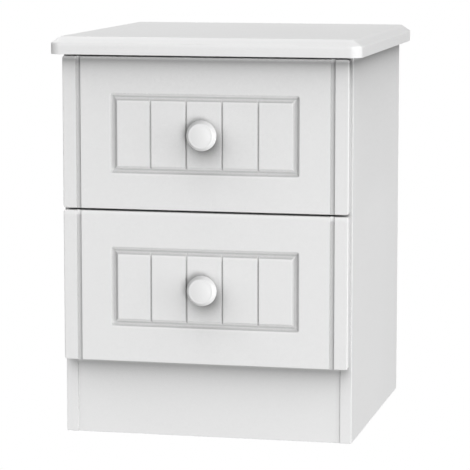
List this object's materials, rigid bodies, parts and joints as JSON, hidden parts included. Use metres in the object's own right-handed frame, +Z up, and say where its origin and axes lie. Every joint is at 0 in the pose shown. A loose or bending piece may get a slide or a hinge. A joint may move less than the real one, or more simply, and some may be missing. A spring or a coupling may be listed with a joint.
{
  "type": "nightstand",
  "caption": "White bedside cabinet with bevelled overhanging top, plinth base and stacked drawers with grooved fronts and round knobs on roller runners.",
  "frame": {"origin": "middle of the footprint, on the floor, with the knobs and the top's overhang counted in", "axes": "+Z up, the drawer fronts face -Y and the drawers pull out along -Y, +X to the right as seen from the front"},
  "size_m": [0.395, 0.415, 0.505],
  "materials": {
    "white_foil": "matt white foil over smooth fibreboard",
    "white_board": "white melamine-faced chipboard",
    "drawer_board": "white melamine-faced chipboard, fine grain",
    "hardboard": "thin fibreboard painted white",
    "knob_paint": "turned wood, satin white lacquer",
    "coated_steel": "white powder-coated sheet steel",
    "zinc_screws": "bright zinc-plated steel",
    "zinc_fittings": "die-cast zinc, dull",
    "brass": "plain turned brass",
    "beech": "bare beech",
    "nylon": "off-white nylon"
  },
  "bodies": {
    "carcass": {"top_board": "white_foil", "left_side_panel": "white_foil", "right_side_panel": "white_foil", "bottom_panel": "white_board", "front_plinth": "white_foil", "rear_plinth": "white_board", "front_top_rail": "white_board", "rear_top_rail": "white_board", "divider_rail": "white_foil", "back_panel": "hardboard", "upper_left_cabinet_runner": "coated_steel", "upper_right_cabinet_runner": "coated_steel", "lower_left_cabinet_runner": "coated_steel", "lower_right_cabinet_runner": "coated_steel", "cam_locks": "zinc_fittings", "cam_bolts": "zinc_screws", "dowels": "beech", "top_screws": "zinc_screws", "cabinet_runner_screws": "zinc_screws", "back_panel_screws": "zinc_screws", "front_wheel_rivets": "zinc_screws"},
    "upper_drawer": {"upper_drawer_front": "white_foil", "upper_knob": "knob_paint", "upper_knob_insert": "brass", "upper_knob_bolt": "zinc_screws", "upper_box_front": "drawer_board", "upper_box_back": "drawer_board", "upper_box_left_side": "drawer_board", "upper_box_right_side": "drawer_board", "upper_box_base": "hardboard", "upper_left_drawer_runner": "coated_steel", "upper_right_drawer_runner": "coated_steel", "upper_box_screws": "zinc_screws", "upper_front_screws": "zinc_screws", "upper_runner_screws": "zinc_screws", "upper_rear_wheel_rivets": "zinc_screws"},
    "lower_drawer": {"lower_drawer_front": "white_foil", "lower_knob": "knob_paint", "lower_knob_insert": "brass", "lower_knob_bolt": "zinc_screws", "lower_box_front": "drawer_board", "lower_box_back": "drawer_board", "lower_box_left_side": "drawer_board", "lower_box_right_side": "drawer_board", "lower_box_base": "hardboard", "lower_left_drawer_runner": "coated_steel", "lower_right_drawer_runner": "coated_steel", "lower_box_screws": "zinc_screws", "lower_front_screws": "zinc_screws", "lower_runner_screws": "zinc_screws", "lower_rear_wheel_rivets": "zinc_screws"},
    "upper_left_front_wheel": {"upper_left_front_wheel": "nylon"},
    "upper_left_rear_wheel": {"upper_left_rear_wheel": "nylon"},
    "upper_right_front_wheel": {"upper_right_front_wheel": "nylon"},
    "upper_right_rear_wheel": {"upper_right_rear_wheel": "nylon"},
    "lower_left_front_wheel": {"lower_left_front_wheel": "nylon"},
    "lower_left_rear_wheel": {"lower_left_rear_wheel": "nylon"},
    "lower_right_front_wheel": {"lower_right_front_wheel": "nylon"},
    "lower_right_rear_wheel": {"lower_right_rear_wheel": "nylon"}
  },
  "joints": [
    {"name": "upper_drawer_slide", "type": "slide", "parent": "carcass", "child": "upper_drawer", "axis": [0, -1, 0], "range_m": [0, 0.25]},
    {"name": "lower_drawer_slide", "type": "slide", "parent": "carcass", "child": "lower_drawer", "axis": [0, -1, 0], "range_m": [0, 0.25]},
    {"name": "upper_left_front_wheel_spin", "type": "hinge", "parent": "carcass", "child": "upper_left_front_wheel", "pos_m": [-0.16385, -0.1535, 0.33], "axis": [1, 0, 0], "range_deg": [-20, 1720]},
    {"name": "upper_left_rear_wheel_spin", "type": "hinge", "parent": "upper_drawer", "child": "upper_left_rear_wheel", "pos_m": [-0.16205, 0.1165, 0.3255], "axis": [1, 0, 0], "range_deg": [-20, 1720]},
    {"name": "upper_right_front_wheel_spin", "type": "hinge", "parent": "carcass", "child": "upper_right_front_wheel", "pos_m": [0.16385, -0.1535, 0.33], "axis": [1, 0, 0], "range_deg": [-20, 1720]},
    {"name": "upper_right_rear_wheel_spin", "type": "hinge", "parent": "upper_drawer", "child": "upper_right_rear_wheel", "pos_m": [0.16205, 0.1165, 0.3255], "axis": [1, 0, 0], "range_deg": [-20, 1720]},
    {"name": "lower_left_front_wheel_spin", "type": "hinge", "parent": "carcass", "child": "lower_left_front_wheel", "pos_m": [-0.16385, -0.1535, 0.1365], "axis": [1, 0, 0], "range_deg": [-20, 1720]},
    {"name": "lower_left_rear_wheel_spin", "type": "hinge", "parent": "lower_drawer", "child": "lower_left_rear_wheel", "pos_m": [-0.16205, 0.1165, 0.132], "axis": [1, 0, 0], "range_deg": [-20, 1720]},
    {"name": "lower_right_front_wheel_spin", "type": "hinge", "parent": "carcass", "child": "lower_right_front_wheel", "pos_m": [0.16385, -0.1535, 0.1365], "axis": [1, 0, 0], "range_deg": [-20, 1720]},
    {"name": "lower_right_rear_wheel_spin", "type": "hinge", "parent": "lower_drawer", "child": "lower_right_rear_wheel", "pos_m": [0.16205, 0.1165, 0.132], "axis": [1, 0, 0], "range_deg": [-20, 1720]}
  ],
  "couplings": [
    {"joint": "upper_left_front_wheel_spin", "follows": "upper_drawer_slide", "rad_per_m": 117.65},
    {"joint": "upper_left_rear_wheel_spin", "follows": "upper_drawer_slide", "rad_per_m": 117.65},
    {"joint": "upper_right_front_wheel_spin", "follows": "upper_drawer_slide", "rad_per_m": 117.65},
    {"joint": "upper_right_rear_wheel_spin", "follows": "upper_drawer_slide", "rad_per_m": 117.65},
    {"joint": "lower_left_front_wheel_spin", "follows": "lower_drawer_slide", "rad_per_m": 117.65},
    {"joint": "lower_left_rear_wheel_spin", "follows": "lower_drawer_slide", "rad_per_m": 117.65},
    {"joint": "lower_right_front_wheel_spin", "follows": "lower_drawer_slide", "rad_per_m": 117.65},
    {"joint": "lower_right_rear_wheel_spin", "follows": "lower_drawer_slide", "rad_per_m": 117.65}
  ]
}
